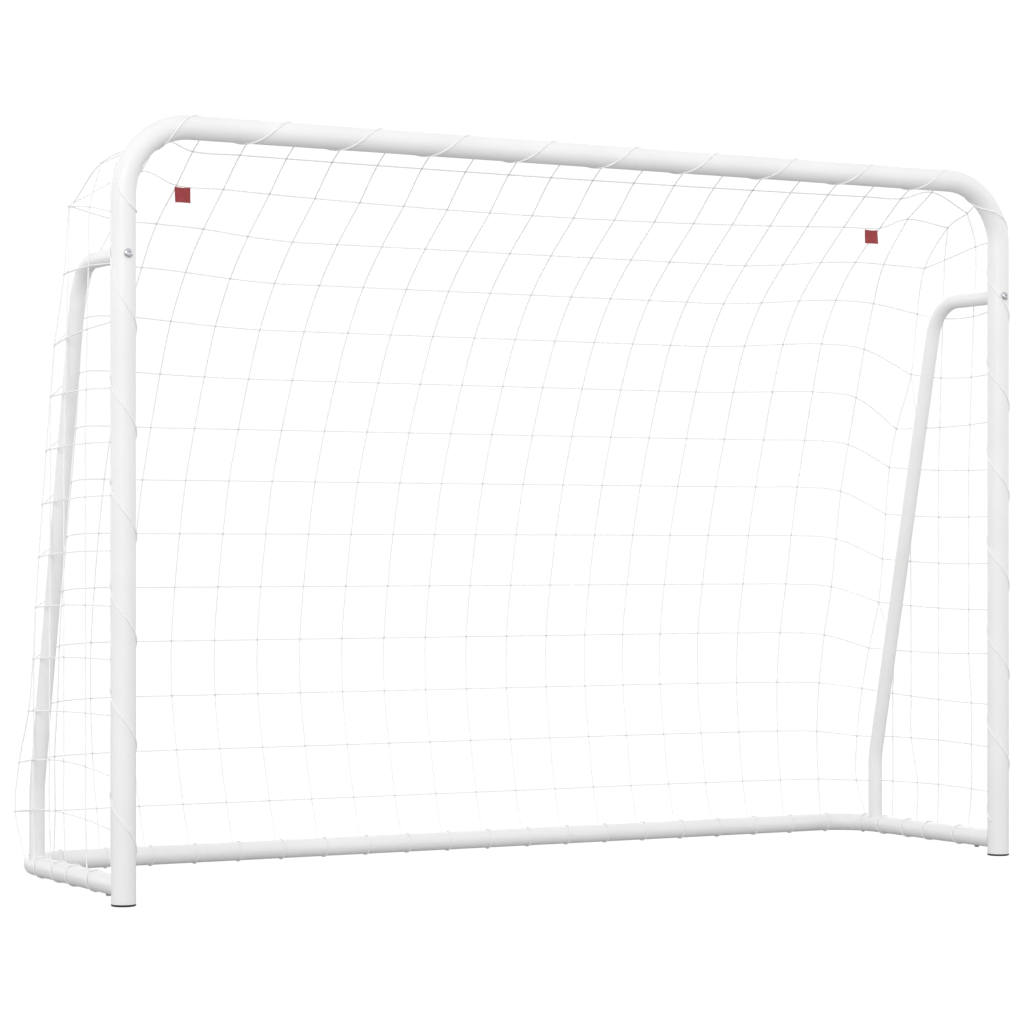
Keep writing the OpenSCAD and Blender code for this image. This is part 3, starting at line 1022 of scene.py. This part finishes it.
def make_net_back(material):
    """Back panel: rows between the seams, and the columns between them down to the rear base tube."""
    shape = Shape()
    for row in range(row_count):
        nodes = [back_node(k, row) for k in range(column_count)]
        add_cord(shape, smooth_path(nodes), cord_r)
    for k in range(1, column_count - 1):
        nodes = [second_line_node(k)] + [back_node(k, row) for row in range(row_count - 1, -1, -1)]
        end = base_wrap_back(k)
        add_cord(shape, smooth_path(nodes + end[:1]) + end[1:], cord_r)
        add_knot(shape, end[-1], x_axis, z_axis)
        for row in range(row_count):
            spot = back_node(k, row)
            add_knot(shape, spot, back_node(k + 1, row) - back_node(k - 1, row), z_axis)
    shape.build("net_back_cords", material, ["net_back"])


def make_net_roof(material):
    """Roof strip: the edge cord on the frame, two lines that follow it, and the columns' top ends."""
    shape = Shape()
    steps = round(lacing_l / 0.012)
    add_cord(shape, [edge_place(lacing_l * i / steps) for i in range(steps + 1)], cord_r)
    for line in (first_line_node, second_line_node):
        nodes = [line(k) for k in range(column_count)]
        add_cord(shape, smooth_path(nodes, 0.008), cord_r)
    for k in range(1, column_count - 1):
        nodes = [edge_node(k), first_line_node(k), second_line_node(k)]
        add_cord(shape, smooth_path(nodes), cord_r)
        for spot in nodes:
            add_knot(shape, spot, x_axis, Vector((0, 0.6, 0.8)))
    shape.build("net_roof_cords", material, ["net_roof"])


def make_net_side(side, name, material):
    """Side panel: rows from the post to the seam, crossed by four upright cords."""
    shape = Shape()
    seam_k = 0 if side < 0 else column_count - 1
    tops = [first_line_node(seam_k), second_line_node(seam_k)]
    for row in range(row_count):
        lines = [line for line, (depth, count) in enumerate(side_lines) if row < count]
        nodes = [post_node(side, row)] + [side_node(side, row, line) for line in lines]
        nodes.append(seam_node(side, row))
        add_cord(shape, smooth_path(nodes), cord_r)
        for spot in nodes[:-1]:
            add_knot(shape, spot, y_axis, z_axis)
    for line, (depth, count) in enumerate(side_lines):
        start = tops[line] if line < len(tops) else seam_node(side, count)
        nodes = [start] + [side_node(side, row, line) for row in range(count - 1, -1, -1)]
        end = base_wrap_side(side, depth)
        add_cord(shape, smooth_path(nodes + end[:1]) + end[1:], cord_r)
        add_knot(shape, end[-1], y_axis, z_axis)
    shape.build("net_side_cords_" + name, material, ["net_side_" + name])


def make_net_seam(side, name, material):
    """Seam cord: the outermost column, from the corner bend over both lines and down to the base."""
    shape = Shape()
    k = 0 if side < 0 else column_count - 1
    nodes = [edge_node(k), first_line_node(k), second_line_node(k)]
    nodes += [back_node(k, row) for row in range(row_count - 1, -1, -1)]
    end = base_wrap_back(k)
    add_cord(shape, smooth_path(nodes + end[:1]) + end[1:], cord_r)
    for spot in nodes + end[-1:]:
        add_knot(shape, spot, x_axis, z_axis)
    shape.build("net_seam_cord_" + name, material, ["net_seam_" + name])


# Above the left stay the lacing is pushed up the post by up to this much, between these two heights
detour = 0.036
detour_low = 0.925
detour_high = 1.080
detour_rise = 0.055
detour_fall = 0.065


def stay_detour(s):
    """How far up the left post the lacing is pushed, where it passes behind the post above the stay."""
    z = lacing_z + s
    rise = clamp((z - detour_low) / detour_rise)
    fall = clamp((detour_high - z) / detour_fall)
    return detour * ease(min(rise, fall))


def make_lacing(material):
    """One cord wound round the posts, the corners and the crossbar, and round the net's edge cord."""
    shape = Shape()
    per_turn = 40
    # Within this angle of the edge cord the lacing lifts to pass over it
    crossing_angle = 0.35
    count = int(lacing_l / lacing_pitch * per_turn)
    path = []
    for i in range(count + 1):
        s = i * lacing_pitch / per_turn
        a = math.radians(90) - 2 * math.pi * (s + lacing_z - lacing_phase) / lacing_pitch
        s += stay_detour(s)
        centre, out = frame_place(s)
        direction = math.cos(a) * out - math.sin(a) * y_axis
        edge = (edge_place(s) - centre).normalized()
        lift = 2 * cord_r * max(0, 1 - direction.angle(edge) / crossing_angle) ** 0.5
        path.append(centre + (tube_r + 0.0008 + lift) * direction)
    add_cord(shape, path, cord_r, 8)
    add_knot(shape, path[0], y_axis, z_axis)
    add_knot(shape, path[-1], y_axis, z_axis)
    shape.build("net_lacing_cord", material, ["net_lacing"])


def make_tag(side, name, material):
    """A square of woven fabric that hangs from a knot near the corner, with a hem and a slight curl."""
    shape = Shape()
    knot = second_line_node(2 if side < 0 else column_count - 3)
    # The sewn corner, a little beside the knot, in front of it and below it
    hang = knot + (Vector((-0.0045, -0.003, -0.0025)) if side < 0 else Vector((-0.0075, -0.003, -0.0045)))
    count = 16
    thickness = 0.0009
    grids = []
    for layer in (0, 1):
        rows = []
        for j in range(count + 1):
            v = j / count
            line = []
            for i in range(count + 1):
                u = i / count
                rim = max(abs(2 * u - 1), abs(2 * v - 1))
                hem = 0.0005 if 0.78 < rim < 0.93 else 0.0
                curl = 0.0022 * math.sin(2.6 * u + 0.8) * v + 0.0012 * v * v
                sag = 0.0010 * math.sin(math.pi * u)
                x = hang.x - side * tag_w * u
                y = hang.y - curl + (layer - 0.5) * (thickness + hem)
                z = hang.z - sag * (1 - v) - tag_h * v
                line.append(len(shape.points))
                shape.points.append(Vector((x, y, z)))
            rows.append(line)
        grids.append(rows)
    for layer, rows in enumerate(grids):
        for j in range(count):
            for i in range(count):
                quad = [rows[j][i], rows[j][i + 1], rows[j + 1][i + 1], rows[j + 1][i]]
                uvs = [(i / count, j / count), ((i + 1) / count, j / count),
                       ((i + 1) / count, (j + 1) / count), (i / count, (j + 1) / count)]
                if (layer == 0) == (side < 0):
                    quad.reverse()
                    uvs.reverse()
                shape.face(quad, uvs)
    close_rim(shape, grids, count, side)
    shape.build("net_tag_cloth_" + name, material, ["net_tag_" + name])


def close_rim(shape, grids, count, side):
    """Joins the front and back layers of a tag along all four edges."""
    rim = [(0, i) for i in range(count)] + [(j, count) for j in range(count)]
    rim += [(count, i) for i in range(count, 0, -1)] + [(j, 0) for j in range(count, 0, -1)]
    for n, (j, i) in enumerate(rim):
        next_j, next_i = rim[(n + 1) % len(rim)]
        quad = [grids[0][j][i], grids[0][next_j][next_i], grids[1][next_j][next_i], grids[1][j][i]]
        if side < 0:
            quad.reverse()
        shape.face(quad, [(0, 0), (1, 0), (1, 0.03), (0, 0.03)])


# ---- The whole scene ----

make_camera()
make_world()
make_lights()
make_floor()
bpy.context.scene.view_settings.view_transform = "Standard"

white = powder_coat()
zinc = galvanised()
bright = bright_steel()
black = black_plastic()
net_white = twisted_cord("net_cord_twist", (0.93, 0.93, 0.925))
lace_white = twisted_cord("lacing_cord_twist", (0.91, 0.91, 0.905))
red = red_weave()

make_crossbar(white)
make_base_rear(white)
make_bolts(bright)
make_net_back(net_white)
make_net_roof(net_white)
make_lacing(lace_white)
for side, name in ((-1, "left"), (1, "right")):
    make_post(side, name, white)
    make_base_side(side, name, white)
    make_stay(side, name, white)
    make_foot_cap(side, name, black)
    make_net_side(side, name, net_white)
    make_net_seam(side, name, net_white)
    make_tag(side, name, red)

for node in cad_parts.values():
    node.data.materials.clear()
    node.data.materials.append(zinc)
